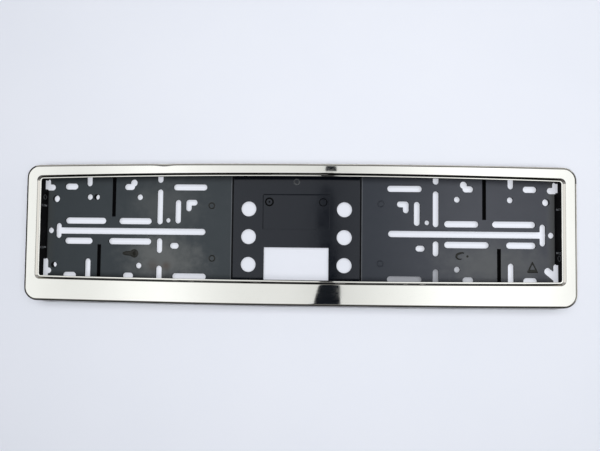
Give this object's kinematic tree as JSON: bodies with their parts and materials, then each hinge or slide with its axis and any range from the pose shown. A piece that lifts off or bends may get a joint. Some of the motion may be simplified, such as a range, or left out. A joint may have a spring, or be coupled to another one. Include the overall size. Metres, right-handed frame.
{
  "type": "number plate holder",
  "caption": "Black plastic number plate tray pierced with fixing slots, under a polished steel cover frame with a stepped lip and a broad lower band.",
  "frame": {"origin": "middle of the outline, on the plane of the back that rests on the car", "axes": "+X along the plate to the right seen from the front, +Y the plate's up, +Z out of the front"},
  "size_m": [0.5324, 0.1413, 0.0197],
  "materials": {
    "moulded_plastic": "black injection moulding, satin",
    "polished_steel": "stainless sheet, mirror polished"
  },
  "bodies": {
    "root": {"base_tray": "moulded_plastic", "cover_frame": "polished_steel"}
  },
  "joints": []
}
